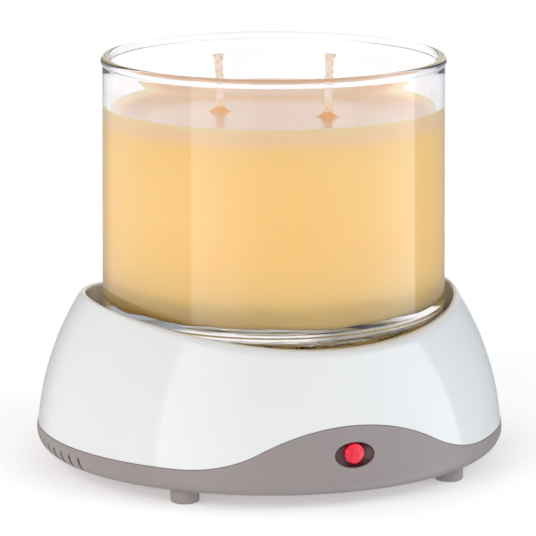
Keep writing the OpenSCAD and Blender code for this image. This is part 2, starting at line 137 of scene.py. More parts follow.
def makePiece(name, points, quads, triangles=None, sharpAngle=38):
    # points in mm; faces are turned round if the closed surface has a negative volume
    points = np.asarray(points, float)
    triangles = np.zeros((0, 3), int) if triangles is None else np.asarray(triangles, int)
    quads = np.asarray(quads, int).reshape(-1, 4)
    halves = np.concatenate([quads[:, [0, 1, 2]], quads[:, [0, 2, 3]], triangles])
    a, b, c = (points[halves[:, i]] for i in range(3))
    if np.einsum("ij,ij->i", a, np.cross(b, c)).sum() < 0:
        quads, triangles = quads[:, ::-1], triangles[:, ::-1]
    mesh = bpy.data.meshes.new(name)
    mesh.vertices.add(len(points))
    mesh.vertices.foreach_set("co", (points * metre).astype(np.float32).ravel())
    corners = np.concatenate([quads.ravel(), triangles.ravel()]).astype(np.int32)
    counts = np.concatenate([np.full(len(quads), 4), np.full(len(triangles), 3)])
    mesh.loops.add(len(corners))
    mesh.loops.foreach_set("vertex_index", corners)
    mesh.polygons.add(len(counts))
    mesh.polygons.foreach_set("loop_start", np.concatenate([[0], np.cumsum(counts)[:-1]]).astype(np.int32))
    mesh.polygons.foreach_set("use_smooth", np.ones(len(counts), bool))
    mesh.update(calc_edges=True)
    mesh.validate()
    mesh.set_sharp_from_angle(angle=math.radians(sharpAngle))
    piece = bpy.data.objects.new(name, mesh)
    scene.collection.objects.link(piece)
    return piece


def finishPiece(piece, body, slot, material, *stoodFor):
    piece.data.materials.append(material)
    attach(piece, body)
    if stoodFor:
        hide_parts(*stoodFor)


def turnProfile(profile, centre, columns, bend=None):
    # surface of revolution: each (r, z) of the profile carried round the axis; a point on
    # the axis becomes one pole. bend(r, z, turn) may return a changed r and z
    turn = fullTurn(columns)
    onAxis = profile[:, 0] < 1e-6
    ringed = profile[~onAxis]
    r, z = (np.repeat(ringed[:, i:i + 1], columns, 1) for i in (0, 1))
    if bend:
        r, z = bend(r, z, turn[None, :] + 0 * r)
    points = np.stack([centre[0] + r * np.sin(turn), centre[1] - r * np.cos(turn), z], -1)
    points = points.reshape(-1, 3)
    quads = gridFaces(len(ringed), columns, wrapRows=not onAxis.any())
    triangles = []
    for row, ring in ((0, 0), (-1, len(ringed) - 1)):
        if onAxis[row]:
            numbers = ring * columns + np.arange(columns)
            pole = len(points)
            points = np.vstack([points, [centre[0], centre[1], profile[row, 1]]])
            triangles.append(fanFaces(numbers if row == -1 else numbers[::-1], pole))
    return points, quads, np.concatenate(triangles) if triangles else None


# ---- materials


def newMaterial(name, fixed):
    # fixed: what is the same all over the surface, set on the shader's own sockets
    material = bpy.data.materials.new(name)
    material.use_nodes = True
    tree = material.node_tree
    tree.nodes.clear()
    shader = addNode(tree, "BsdfPrincipled", inputs=fixed)
    addNode(tree, "OutputMaterial", inputs={"Surface": shader.outputs[0]})
    where = addNode(tree, "TexCoord").outputs["Object"]
    return material, tree, shader, where


def perMetre(size):
    # a noise scale whose features are about this many millimetres across
    return 1 / (size * metre)


def mouldedPlastic(name, colours, roughness, grainSize, grainDepth, drift=0.03):
    # moulded, pressed or dipped: the colour drifts a little between two close shades, and the
    # tool's surface shows as a fine grain in roughness and height
    material, tree, shader, where = newMaterial(name, {"IOR": 1.5})
    cloud = addNode(tree, "TexNoise", inputs={"Vector": where, "Scale": perMetre(22), "Detail": 3.0})
    tint = addNode(tree, "Mix", {"data_type": "RGBA"}, {
        0: cloud.outputs["Fac"], 6: linear(colours[0]), 7: linear(colours[1])})
    tree.links.new(tint.outputs[2], shader.inputs["Base Color"])
    grain = addNode(tree, "TexNoise", inputs={"Vector": where, "Scale": perMetre(grainSize), "Detail": 4.0})
    rough = addNode(tree, "MapRange", inputs={
        "Value": grain.outputs["Fac"], 3: roughness - drift, 4: roughness + drift})
    tree.links.new(rough.outputs[0], shader.inputs["Roughness"])
    bump = addNode(tree, "Bump", inputs={
        "Height": grain.outputs["Fac"], "Distance": grainDepth * metre, "Strength": 0.5})
    tree.links.new(bump.outputs[0], shader.inputs["Normal"])
    return material


def clearGlass(name, colour, ripple):
    # clear, with sharp bright edges; slow ripples 16 mm apart bend what is seen through it
    material, tree, shader, where = newMaterial(name, {
        "Base Color": linear(colour), "Transmission Weight": 1.0, "Roughness": 0.0, "IOR": 1.52})
    wave = addNode(tree, "TexNoise", inputs={"Vector": where, "Scale": perMetre(16), "Detail": 1.0})
    bump = addNode(tree, "Bump", inputs={
        "Height": wave.outputs["Fac"], "Distance": ripple * metre, "Strength": 0.4})
    tree.links.new(bump.outputs[0], shader.inputs["Normal"])
    return material


def platedMetal(name, colour, roughness, streak):
    # turned, pressed or plated: the highlight breaks up in fine streaks, stretched along the axis
    # whose streak value is low
    material, tree, shader, where = newMaterial(name, {"Metallic": 1.0})
    stretch = addNode(tree, "Mapping", inputs={"Vector": where, "Scale": streak})
    lines = addNode(tree, "TexNoise", inputs={
        "Vector": stretch.outputs[0], "Scale": perMetre(3), "Detail": 5.0})
    rough = addNode(tree, "MapRange", inputs={
        "Value": lines.outputs["Fac"], 3: roughness - 0.08, 4: roughness + 0.12})
    tree.links.new(rough.outputs[0], shader.inputs["Roughness"])
    tint = addNode(tree, "MapRange", inputs={"Value": lines.outputs["Fac"], 3: 0.9, 4: 1.1})
    shade = addNode(tree, "VectorMath", {"operation": "SCALE"}, {
        0: linear(colour)[:3], "Scale": tint.outputs[0]})
    tree.links.new(shade.outputs[0], shader.inputs["Base Color"])
    bump = addNode(tree, "Bump", inputs={
        "Height": lines.outputs["Fac"], "Distance": 0.02 * metre, "Strength": 0.4})
    tree.links.new(bump.outputs[0], shader.inputs["Normal"])
    return material


# ---- the casing's shape, shared by cover, tray and lamp

casing = {
    "arc": 85.5, "arcBack": 15.9, "arcLow": 4.0,  # the dome's side in section
    "seam": 11.4, "gap": 0.08, "step": 0.14,  # parting line, its open gap, the tray's overhang
    "humpHigh": 12.5, "humpHalf": 48.0, "humpCrown": 55.0,  # height, half width, radius of its top
    "rimFront": 44.0, "rimSweep": 230.0,  # the rim dips front and back in an arc of this radius
    "inletHigh": 12.5, "inletRadius": 4.3,
}


def domeRadius(z, inset=0.0):
    # section of the dome: a circle's arc whose centre lies beyond the axis
    return np.sqrt((casing["arc"] - inset) ** 2 - (z - casing["arcLow"]) ** 2) - casing["arcBack"]


def humpHeight(x):
    # crown arc in the middle, a hollow arc on each side tangent to it and to the seam
    high, half, crown = casing["humpHigh"], casing["humpHalf"], casing["humpCrown"]
    both = (half ** 2 + high ** 2) / (2 * high)
    turnX = half * crown / both
    side = np.minimum(np.abs(x), half)
    onCrown = high - crown + np.sqrt(np.maximum(crown ** 2 - side ** 2, 0))
    onHollow = (both - crown) - np.sqrt(np.maximum((both - crown) ** 2 - (half - side) ** 2, 0))
    return np.where(side < turnX, onCrown, onHollow)


def seamLine(turn):
    # height of the parting line at each angle from the front: solved by repeated substitution
    z = np.full(turn.shape, casing["seam"])
    for _ in range(12):
        z = casing["seam"] + np.where(np.cos(turn) > 0, humpHeight(domeRadius(z) * np.sin(turn)), 0)
    return z


def inletArch(turn, sign):
    # the round hole for the cord gland, as half an arch in each of the two mouldings
    x = domeRadius(casing["inletHigh"]) * np.sin(turn)
    reach = math.sqrt(casing["inletRadius"] ** 2 - (casing["inletHigh"] - casing["seam"]) ** 2)
    arch = casing["inletHigh"] + sign * np.sqrt(np.maximum(casing["inletRadius"] ** 2 - x ** 2, 0))
    return np.where((np.cos(turn) < 0) & (np.abs(x) <= reach), arch, casing["seam"])


def ringTurns(base, extra):
    # even angles round the part, with finer stretches added where edges need them
    turns = np.concatenate([np.linspace(-180, 180, base, endpoint=False), *extra])
    turns = np.sort((turns + 180) % 360 - 180)
    keep = np.concatenate([[True], np.diff(turns) > 0.02])
    return np.radians(turns[keep])


def ringPoints(turn, r, z):
    # radius and height at each angle from the front, as x, y, z
    return np.stack([r * np.sin(turn), -r * np.cos(turn), z], -1)


def faceDepth(x, z):
    # y of the tray's outer face at a point seen from the front
    return -np.sqrt(domeRadius(z, -casing["step"]) ** 2 - x ** 2)


backTurns = 180 + np.linspace(-4.2, 4.2, 43)  # finer where the inlet is

# ---- cover

cover = {
    "wall": 2.4, "wellRadius": 54.7, "wellWall": 3.2, "shelfRadius": 50.0,
    "shelfTop": 40.0, "shelfLow": 38.0, "outerRound": 1.9, "innerRound": 1.2, "edgeRound": 0.12,
    "crownFall": 0.05,  # the rim's inner side lies this much lower
    "colours": ("D9D9D8", "D6D6D5"), "roughness": 0.08,
}


def makeCover():
    # closed section for each angle: up the dome, over the softly rounded rim, down the well,
    # round the shelf and back down inside. All sections have the same number of points
    turn = ringTurns(400, [backTurns])
    low = np.maximum(seamLine(turn), inletArch(turn, 1)) + casing["gap"]
    rim = np.full(turn.shape, casing["rimFront"])
    for _ in range(8):
        rim = casing["rimFront"] + (domeRadius(rim) * np.sin(turn)) ** 2 / (2 * casing["rimSweep"])
    width = domeRadius(rim) - cover["wellRadius"]
    outer = np.minimum(cover["outerRound"], 0.5 * width)
    inner = np.minimum(cover["innerRound"], 0.42 * width)
    edge, well, shelf = cover["edgeRound"], cover["wellRadius"], cover["shelfRadius"]
    innerTop = rim - cover["crownFall"]

    def row(r, z):
        return np.stack([r + 0 * turn, z + 0 * turn], -1)

    upZ = np.linspace(0, 1, 44)[:, None] * (rim - outer - low - edge) + low + edge
    side = np.stack([domeRadius(upZ), upZ], -1)
    topOut = row(domeRadius(rim) - outer * 1.05, rim)
    topIn = row(well + inner, innerTop)
    wellTop = row(well, rim - inner - cover["crownFall"])
    wellFoot = row(well, cover["shelfTop"])
    outWell = well + cover["wellWall"]
    hollowTop = casing["arcLow"] + math.sqrt(
        (casing["arc"] - cover["wall"]) ** 2 - (outWell + casing["arcBack"]) ** 2)
    inZ = np.linspace(0, 1, 16)[:, None] * (low + edge - hollowTop) + hollowTop
    shelfEdge = row(shelf, cover["shelfLow"])
    section = np.concatenate([
        side,
        softCorner(side[-1], row(domeRadius(rim), rim), topOut, 9)[1:],
        straight(topOut, topIn, 4)[1:],
        softCorner(topIn, row(well, innerTop), wellTop, 7)[1:],
        straight(wellTop, wellFoot, 6)[1:],
        straight(wellFoot, row(shelf, cover["shelfTop"]), 3)[1:],
        shelfEdge[None],
        straight(shelfEdge, row(outWell, cover["shelfLow"]), 3)[1:],
        np.stack([domeRadius(inZ, cover["wall"]), inZ], -1),
        row(domeRadius(low, cover["wall"]) + edge, low)[None],
        row(domeRadius(low) - edge, low)[None],
    ])
    points = ringPoints(turn, section[..., 0], section[..., 1]).reshape(-1, 3)
    return makePiece("cover", points, gridFaces(*section.shape[:2], wrapRows=True))


# ---- tray

tray = {
    "low": 3.9, "wall": 2.2, "round": 5.5, "lip": 0.15,
    "vents": 8, "ventPitch": 4.1, "ventMid": 87.7, "ventWide": 1.2,  # pitch and middle in degrees
    "ventLow": 5.0, "ventTop": 9.2,
    "lampHigh": 15.7, "lampHalfWide": 6.0, "lampHalfHigh": 3.6, "lampDeep": 1.7, "lampBevel": 0.35,
    "colours": ("8D8382", "887E7D"), "roughness": 0.42,
}


def ovalPoint(angle, halfWide, halfHigh):
    # ellipse point in the direction of an angle measured at its centre
    reach = 1 / np.sqrt((np.cos(angle) / halfWide) ** 2 + (np.sin(angle) / halfHigh) ** 2)
    return reach * np.cos(angle), reach * np.sin(angle)


def makeTray():
    # closed section from the pole under the floor out to the rounded edge, up to the seam,
    # over it and back inside to the pole on the floor; then slots and lamp recess are let in
    z0, wall, rnd = tray["low"], tray["wall"], tray["round"]
    edgeZ = z0 + rnd
    edgeR = float(domeRadius(edgeZ)) + casing["step"] - rnd
    halfSlot = math.degrees(tray["ventWide"] / 2 / 67.5)  # radius at the middle of a slot's height
    count = tray["vents"]
    slotTurns = np.array([side + (i - (count - 1) / 2) * tray["ventPitch"]
                          for side in (-tray["ventMid"], tray["ventMid"]) for i in range(count)])
    shares = np.array([-1.0, -0.75, -0.35, 0.0, 0.35, 0.75, 1.0])
    slotEdges = (slotTurns[:, None] + halfSlot * shares).ravel()
    turn = ringTurns(360, [backTurns, slotEdges])
    near = np.degrees(turn)[:, None] - slotTurns[None, :]
    # the even angles that fall inside or close to a slot are dropped, the slot's own are kept
    inside = (np.abs(near) < halfSlot + 0.25).any(1)
    own = (np.abs(np.degrees(turn)[:, None] - slotEdges[None, :]) < 0.004).any(1)
    turn = turn[~inside | own]
    degrees = np.degrees(turn)
    columns = len(turn)
    # the arch stops above the rounded edge; the gland's flange covers what is left
    arch = np.maximum(inletArch(turn, -1), edgeZ + 0.3)
    top = np.where(arch < casing["seam"], arch, seamLine(turn))

    lowCut = math.degrees(math.asin((tray["ventLow"] - edgeZ) / rnd))
    highCut = math.degrees(math.asin((tray["ventTop"] - edgeZ) / rnd))
    bends = np.concatenate([np.linspace(-90, lowCut, 6), np.linspace(lowCut, highCut, 8)[1:],
                            np.linspace(highCut, 0, 3)[1:]])
    slotRows = (5, 12)  # rows of bends at the slots' lower and upper ends
    bend = np.repeat(bends[:, None], columns, 1)
    # those two rows bow where they cross a slot, which rounds its ends
    offset = degrees[:, None] - slotTurns[None, :]
    share = np.take_along_axis(offset, np.abs(offset).argmin(1)[:, None], 1)[:, 0] / halfSlot
    blunt = np.where(np.abs(share) < 1.01, 1 - np.sqrt(np.maximum(1 - share ** 2, 0)), 0)
    endLift = math.degrees(tray["ventWide"] / 2 / rnd)
    bend[slotRows[0]] += blunt * endLift
    bend[slotRows[1]] -= blunt * endLift
    bend = np.radians(bend)

    def lay(r, z):
        return np.stack([r + 0 * turn, z + 0 * turn], -1)

    def roundRows(radius):
        return np.stack([edgeR + radius * np.cos(bend), edgeZ + radius * np.sin(bend)], -1)

    lip, step = tray["lip"], casing["step"]
    rise = np.linspace(0, 1, 26)[1:, None] * (top - lip - edgeZ) + edgeZ
    under = np.array([12.0, 26.0, 40.0, 52.0, 59.0])  # rings across the flat floor
    outer = np.concatenate([
        np.stack([lay(r, z0) for r in under]), roundRows(rnd),
        np.stack([domeRadius(rise, -step), rise], -1)])
    inner = np.concatenate([
        np.stack([lay(r, z0 + wall) for r in under]), roundRows(rnd - wall),
        np.stack([domeRadius(rise, wall - step), rise], -1)])
    crest = np.stack([lay(domeRadius(top, -step) - lip, top),
                      lay(domeRadius(top, wall - step) + lip, top)])
    section = np.concatenate([outer, crest, inner[::-1]])
    rows = len(section)
    points = ringPoints(turn, section[..., 0], section[..., 1])
    flat = points.reshape(-1, 3)
    quads = gridFaces(rows, columns).reshape(rows - 1, columns, 4)
    keep = np.ones((rows - 1, columns), bool)

    def columnAt(angle):
        return int(np.abs(degrees - angle).argmin())

    # slots: cells between the slot's rows and columns go, on both skins, and walls join them
    firstRow, lastRow = (len(under) + row for row in slotRows)
    walls = []
    for slot in slotTurns:
        c0, c1 = columnAt(slot - halfSlot), columnAt(slot + halfSlot)
        keep[firstRow:lastRow, c0:c1] = False
        keep[rows - 1 - lastRow:rows - 1 - firstRow, c0:c1] = False
        ring = windowRing(firstRow, lastRow, c0, c1)
        out = ring[:, 0] * columns + ring[:, 1]
        back = (rows - 1 - ring[:, 0]) * columns + ring[:, 1]
        walls.append(np.stack([out, np.roll(out, -1), np.roll(back, -1), back], 1))

    # lamp recess: a window of cells is taken out and rings run from its edge to the oval
    baseRow = len(under) + len(bends)
    r0, r1, c0, c1 = baseRow + 1, baseRow + 21, columnAt(-9), columnAt(9)
    keep[r0:r1, c0:c1] = False
    ring = windowRing(r0, r1, c0, c1)
    edge = ring[:, 0] * columns + ring[:, 1]
    edgeX, edgeH = flat[edge, 0], flat[edge, 2] - tray["lampHigh"]
    angle = np.arctan2(edgeH, edgeX)
    bevel = tray["lampBevel"]

    def ringAt(grow, sink):
        # a ring round the oval, grown outwards and pushed back from the dome's face
        x, h = ovalPoint(angle, tray["lampHalfWide"] + grow, tray["lampHalfHigh"] + grow)
        z = h + tray["lampHigh"]
        return np.stack([x, faceDepth(x, z) + sink, z], 1)

    mouth = ringAt(bevel, 0.0)
    rings = []
    for t in np.linspace(0, 1, 9)[1:-1] ** 0.8:  # on the face, closer together near the oval
        x = edgeX + t * (mouth[:, 0] - edgeX)
        z = edgeH + tray["lampHigh"] + t * (mouth[:, 2] - edgeH - tray["lampHigh"])
        rings.append(np.stack([x, faceDepth(x, z), z], 1))
    for swing in np.radians(np.linspace(0, 90, 6)):  # a quarter round into the recess
        rings.append(ringAt(bevel * (1 - math.sin(swing)), bevel * (1 - math.cos(swing))))
    rings += [ringAt(0.0, 0.9), ringAt(0.0, tray["lampDeep"]), ringAt(-1.6, tray["lampDeep"])]
    start = rows * columns
    patch = np.concatenate(rings)
    numbers = np.concatenate([edge[None], start + np.arange(len(patch)).reshape(-1, len(edge))])
    beside = np.roll(numbers, -1, 1)
    patchQuads = np.stack([numbers[:-1], beside[:-1], beside[1:], numbers[1:]], -1).reshape(-1, 4)
    pole = start + len(patch)
    deep = domeRadius(tray["lampHigh"], -step) - tray["lampDeep"]
    underPole, floorPole = pole + 1, pole + 2
    points = np.vstack([flat, patch, [[0, -deep, tray["lampHigh"]], [0, 0, z0], [0, 0, z0 + wall]]])
    first, last = np.arange(columns), (rows - 1) * columns + np.arange(columns)
    triangles = np.concatenate([fanFaces(numbers[-1], pole), fanFaces(first[::-1], underPole),
                                fanFaces(last, floorPole)])
    allQuads = np.concatenate([quads[keep], *walls, patchQuads])
    return makePiece("tray", points, allQuads, triangles, sharpAngle=32)


# ---- indicator lamp

lamp = {
    "capRadius": 2.95, "capUp": 0.3, "capProud": 0.35, "capRound": 0.5, "capCrown": 0.6,
    "fit": 0.1, "back": 66.6,  # gap round the window; how far back from the middle both end
    "sink": 0.35, "sinkMore": 0.75, "steps": 5, "stepDeep": 0.07,
    # the cap's two reds are painted light and shade of its facets
    "windowColours": ("4A1820", "3A141A"), "capFacetLitAndShaded": ("E80A32", "A00822"), "glow": 0.3,
}


def makeLens():
    # ring between the oval and the round cap: it sinks evenly towards the cap, with a sine wave
    # of concentric steps on top
    angle = fullTurn(120)
    oval = np.stack(ovalPoint(angle, tray["lampHalfWide"] - lamp["fit"],
                              tray["lampHalfHigh"] - lamp["fit"]), -1)
    cap = (lamp["capRadius"] + 0.08) * np.stack([np.cos(angle), np.sin(angle)], -1)
    cap[:, 1] += lamp["capUp"]
    share = np.concatenate([[0, 0.04], np.linspace(0.08, 0.96, 34), [1.0]])
    flat = oval[None] * (1 - share[:, None, None]) + cap[None] * share[:, None, None]
    wave = lamp["stepDeep"] * np.sin(share * lamp["steps"] * 2 * np.pi)
    sink = lamp["sink"] + lamp["sinkMore"] * share + wave
    sink = np.where(share < 0.02, sink + 0.15, sink)
    z = flat[..., 1] + tray["lampHigh"]
    y = faceDepth(flat[..., 0], z) + sink[:, None]
    front = np.stack([flat[..., 0], y, z], -1)
    rear = np.stack([cap, oval])
    back = np.stack([rear[..., 0], np.full(rear.shape[:2], -lamp["back"]),
                     rear[..., 1] + tray["lampHigh"]], -1)
    section = np.concatenate([front, back])
    return makePiece("lampWindow", section.reshape(-1, 3),
                     gridFaces(*section.shape[:2], wrapRows=True), sharpAngle=50)


def makeCap():
    # straight skirt, a quarter round for its shoulder, a parabola for its low crown
    r, rnd = lamp["capRadius"], lamp["capRound"]
    axisZ = tray["lampHigh"] + lamp["capUp"]
    face = float(faceDepth(0.0, axisZ))
    shoulderY = face - lamp["capProud"] + lamp["capCrown"]
    swing = np.radians(np.linspace(90, 0, 7))
    inward = np.linspace(r - rnd, 0, 12)[1:]
    crown = lamp["capCrown"] * (1 - (inward / (r - rnd)) ** 2)
    depth = np.concatenate([[-lamp["back"], face + 1.0],
                            shoulderY + (rnd - rnd * np.cos(swing)), shoulderY - crown])
    radius = np.concatenate([[r - 0.02, r - 0.02], r - rnd + rnd * np.sin(swing), inward])
    turn = fullTurn(64)
    ringR, ringY = radius[:-1, None], depth[:-1, None] + 0 * turn
    rings = np.stack([ringR * np.cos(turn), ringY, axisZ + ringR * np.sin(turn)], -1)
    tube = closedTube(rings, [0, -lamp["back"], axisZ], [0, depth[-1], axisZ])
    return makePiece("lampCap", *tube, sharpAngle=60)


# ---- feet

foot = {
    "radius": 4.2, "high": 3.9, "round": 0.8, "dish": 0.35, "sunk": 0.05,
    "colours": ("948A88", "867C7A"), "roughness": 0.6,
}


def makeFoot(node):
    # turned section: dished underside, rounded tread, slightly tapered side, and a top that is
    # sunk a hair into the tray's floor
    r, rnd, dish, top = foot["radius"], foot["round"], foot["dish"], foot["high"] + foot["sunk"]
    profile = np.concatenate([
        [[0, dish], [1.6, dish]],
        softCorner(np.array([1.8, dish]), np.array([2.3, 0.0]), np.array([2.8, 0.0]), 5),
        arcPoints((r - rnd, rnd), rnd, -90, 0, 8),
        [[r - 0.05, 2.4], [r - 0.02, top], [2.6, top], [0, top]]])
    name = "foot" + "".join(word.capitalize() for word in node.split("_")[1:])
    return makePiece(name, *turnProfile(profile, boxCentre(node), 64))


# ---- jar

jarAt = boxCentre("jar_glass")
wickAt = {side: boxCentre("wick_clip_" + side) for side in ("left", "right")}

jar = {
    "radius": 51.0, "draft": 0.5, "low": 42.0, "high": 78.8, "wall": 2.4, "base": 5.3,
    "footRound": 6.0, "floorRound": 10.0, "pushUp": 1.0, "bead": 1.45, "beadFrom": -32,
    "ribs": 150, "ribDeep": 0.1, "ribHigh": 1.3,
    "tint": "FCFBFD", "ripple": 0.0,  # the waver is in the mesh instead
}


def jarInside(top):
    # section of the hollow, from the middle of the floor out and up to a height
    r0 = jar["radius"] - jar["wall"]
    floor = jar["low"] + jar["base"]
    corner = jar["floorRound"]
    r1 = r0 - jar["draft"] * (top - jar["low"]) / jar["high"]
    across = np.linspace(0, r0 - corner, 14)
    flat = np.stack([across, np.full(14, floor)], 1)
    bend = arcPoints((r0 - corner, floor + corner), corner, -90, 0, 16)
    return np.concatenate([flat, bend[1:], straight(bend[-1], np.array([r1, top]), 24)[1:]])


def insideWaver(r, z, turn):
    # the pressed floor and its corner waver by a few tenths, which breaks up what shows through:
    # three crossed sine waves of 12 to 46 mm, fading out up the wall and at the middle
    floor = jar["low"] + jar["base"]
    low = np.clip(1 - (z - floor) / 14, 0, 1) * np.clip(r / 30, 0, 1)
    x, y = r * np.sin(turn), r * np.cos(turn)
    wave = (0.22 * np.sin(x / 5.1 + 1.7 * np.sin(y / 7.3))
            + 0.16 * np.sin(y / 3.7 + 1.1 * np.sin(x / 4.9)) + 0.07 * np.sin(x / 1.9 + y / 2.6))
    return r - 0.25 * low * wave, z + low * wave


def makeJar():
    # closed section: raised middle of the underside, bearing ring, foot, wall, bead, inside
    z0, heelRound, outR = jar["low"], jar["footRound"], jar["radius"]
    topR, topZ = outR - jar["draft"], z0 + jar["high"]
    bead = jar["bead"]
    beadAt = np.array([topR + 0.5 - bead, topZ - bead])
    wallTop = topZ - 2 * bead
    wallR = outR - jar["draft"] * (wallTop - z0 - heelRound) / (jar["high"] - heelRound)
    heelR = outR - heelRound
    across = np.linspace(0, heelR - 2.5, 14)
    under = np.stack([across, z0 + jar["pushUp"] - 0.45 * (across / 40) ** 2], 1)
    ring = softCorner(under[-1], np.array([heelR - 1.2, z0]), np.array([heelR + 0.4, z0]), 6)[1:]
    heel = arcPoints((heelR, z0 + heelRound), heelRound, -84, 0, 22)
    wall = straight(heel[-1], np.array([wallR, wallTop]), 34)[1:]
    lip = arcPoints(beadAt, bead, jar["beadFrom"], 205, 24)
    neck = softCorner(wall[-1], np.array([wallR - 0.05, wallTop + 0.5]), lip[0], 5)[1:]
    inside = jarInside(beadAt[1] - 1.2)[::-1]
    profile = np.concatenate([under, ring, heel, wall, neck, lip[1:], inside])

    def bend(r, z, turn):
        # ribs: a sine round the jar that slants with height, strongest just over the foot
        isInside = np.zeros(r.shape, bool)
        isInside[-(len(inside) - 1):] = True
        high = z - z0
        share = np.clip(1 - np.abs(high - jar["ribHigh"]) / jar["ribHigh"], 0, 1)
        share = share * (r > heelR - 1) * ~isInside
        rib = jar["ribDeep"] * np.sin(jar["ribs"] * turn + 2.2 * high) * share
        rIn, zIn = insideWaver(r, z, turn)
        return np.where(isInside, rIn, r + rib), np.where(isInside, zIn, z)

    return makePiece("jar", *turnProfile(profile, jarAt, 600, bend), sharpAngle=60)


# ---- wax

wax = {
    "level": 103.0, "climb": 3.3, "climbWide": 2.6, "overlap": 0.04, "mound": 1.7, "moundWide": 2.5,
    # the pale edge colour is a painted haze of reflection where the wax meets the glass
    # the top colour is painted shade and a painted pinkish haze of reflection, darker and pinker than the
    # body
    "body": ("FFE19A", "FFD98C"), "paintedEdgeHaze": "FBDFC0", "skin": "EABB8E", "soaked": "E9A356",
    "edgeHazeDeep": 4.0, "edgeHazeShare": 0.75,  # painted pale haze band under the top
    "topShadeAndHazeFrom": (44.5, 47.8), "soakedTo": (2.6, 4.4),  # radii over which the painted top shade and haze and the soaked wax fade
}


def makeWax():
    # fills the hollow a hair past the glass, so no air shows between them. The top is level in
    # the middle, climbs to the glass exponentially and mounds round each wick as a flat-topped
    # bell, with a slow sine ripple
    top = wax["level"] + wax["climb"]
    lower = jarInside(top)
    edgeR = lower[-1, 0]
    inward = np.concatenate([np.linspace(0, 8, 22)[1:], np.linspace(8, edgeR, 56)[1:]])
    surface = np.stack([edgeR - inward, np.full(len(inward), wax["level"])], 1)
    surface[-1, 0] = 0
    profile = np.concatenate([lower, surface])
    sideRows = len(lower) - 1  # rings of the part against the glass: the floor's middle is a pole

    def bend(r, z, turn):
        lowR, lowZ = insideWaver(r[:sideRows], z[:sideRows], turn[:sideRows])
        x, y = r * np.sin(turn) + jarAt[0], -r * np.cos(turn) + jarAt[1]
        away = [((x - at[0]) ** 2 + (y - at[1]) ** 2) / wax["moundWide"] ** 2 for at in wickAt.values()]
        raised = (wax["level"] + wax["climb"] * np.exp(-(edgeR - r) / wax["climbWide"])
                  + sum(wax["mound"] * np.exp(-(far ** 1.7)) for far in away)
                  + 0.05 * np.sin(3 * turn + 1) * np.clip(r / edgeR, 0, 1) ** 2)
        z = np.where(z >= wax["level"] - 1e-6, raised, z)
        z[:sideRows] = np.where(lowZ < wax["level"], lowZ, z[:sideRows])
        r[:sideRows] = lowR
        return r + wax["overlap"] * (r > 1), z

    return makePiece("wax", *turnProfile(profile, jarAt, 256, bend), sharpAngle=70)


# ---- wicks

wicks = {
    "radius": 1.1, "tip": 1.55, "left": (17.3, 0.6), "right": (18.7, 1.0),  # height and lean of each
    "strands": 3, "lay": 2.6, "strandDeep": 0.07, "fray": 0.132,
    "cotton": ("F3E9DC", "DDCDBB"), "soaked": "EFC48A", "soakedUp": (0.5, 5.5),
}


def makeWick(side):
    # tube along a line that leans by a power of its height; cosines that slant both ways press
    # its section as braided strands do, and the tip spreads and frays
    up, lean = wicks[side]
    lean = -lean if side == "left" else lean
    base, level = wickAt[side], wax["level"]
    footZ = jar["low"] + jar["base"] + 1
    s = np.concatenate([np.linspace(footZ, level - 1, 12)[:-1], np.linspace(level - 1, level + up, 139)])
    above = np.clip((s - level) / up, 0, 1)
    centreX = base[0] + lean * (0.9 * above ** 1.4) + 0.12 * np.sin(above * 5)
    centreY = base[1] + 0.1 * np.sin(above * 4 + 1)
    turn = fullTurn(40)
    widen = np.clip((above - 0.86) / 0.14, 0, 1) ** 1.5
    spread = wicks["radius"] + (wicks["tip"] - wicks["radius"]) * widen
    around, along = wicks["strands"] * turn[None], s[:, None] * wicks["lay"]
    braid = (wicks["strandDeep"] * (np.cos(around + along) + np.cos(around - along + 0.7))
             + 0.03 * np.cos(11 * turn[None] + s[:, None] * 7))
    fray = wicks["fray"] * np.clip((above - 0.9) / 0.1, 0, 1)[:, None] * np.cos(7 * turn[None] + 0.9)
    radius = spread[:, None] * (1 + braid * np.clip(above * 12, 0, 1)[:, None] + fray)
    rings = np.stack([centreX[:, None] + radius * np.cos(turn) * 1.06,
                      centreY[:, None] + radius * np.sin(turn) * 0.94, s[:, None] + 0 * turn], -1)
    rings[-1, :, 2] += 0.45 * np.cos(5 * turn + 0.4) - 0.5
    tube = closedTube(rings, [base[0], base[1], footZ], [centreX[-1], centreY[-1], s[-1] - 0.9])
    return makePiece("wick" + side.capitalize(), *tube, sharpAngle=60)


# ---- finishes of the outer pieces

# glossy, close to mirror-smooth: the panels show in it with soft but clear edges
whiteAbs = mouldedPlastic("ABS, white, polished moulding", cover["colours"], cover["roughness"],
                          4.0, 0.004, drift=0.02)
# satin to matt: the fine spark texture, half a millimetre across, takes every hard highlight away
taupeAbs = mouldedPlastic("ABS, taupe, spark-eroded texture", tray["colours"], tray["roughness"],
                          0.5, 0.03, drift=0.08)
# dull, a shade lighter than the tray
rubberFoot = mouldedPlastic("rubber, taupe brown, moulded", foot["colours"], foot["roughness"], 0.4, 0.03)
# deep red that looks near black where it mirrors little
windowRed = mouldedPlastic("polycarbonate, dark red, polished", lamp["windowColours"], 0.1, 2.0, 0.01)
# almost colourless, with smooth, rounded, bright edges and a dark line where it is thick
glassJar = clearGlass("soda-lime glass, pressed and fire-polished", jar["tint"], jar["ripple"])


